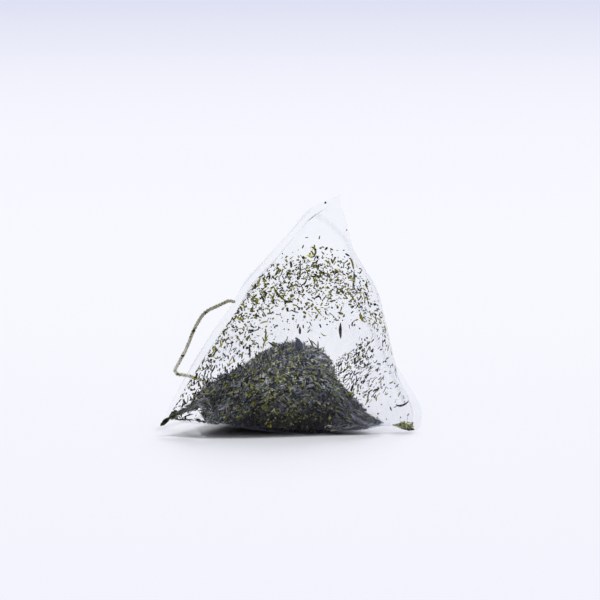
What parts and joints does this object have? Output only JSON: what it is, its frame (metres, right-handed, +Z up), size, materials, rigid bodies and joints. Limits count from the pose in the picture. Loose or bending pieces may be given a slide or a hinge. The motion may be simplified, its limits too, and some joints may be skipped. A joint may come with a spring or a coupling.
{
  "type": "pyramid tea bag",
  "caption": "Four-cornered tea bag of clear film with loose leaf tea inside, a thread welded into one seam and a small blank tag",
  "frame": {"origin": "on the floor, under the middle of the bag's own box, without the thread and the tag", "axes": "+X to the right as the picture shows the bag, along its longest side; +Y to the back, where the thread and the tag lie; +Z up. The bag lies on one face"},
  "size_m": [0.06, 0.0739, 0.0524],
  "materials": {
    "film": "clear, slightly milky, satin",
    "tea": "dry rolled leaf, dark grey with olive bits",
    "cotton": "fuzzy twisted yarn, dusty",
    "tag_paper": "matt, uncoated, blank"
  },
  "bodies": {
    "root": {"bag_film": "film", "tea_heap": "tea", "thread": "cotton", "thread_coil": "cotton", "thread_end": "cotton", "tag": "tag_paper"}
  },
  "joints": []
}
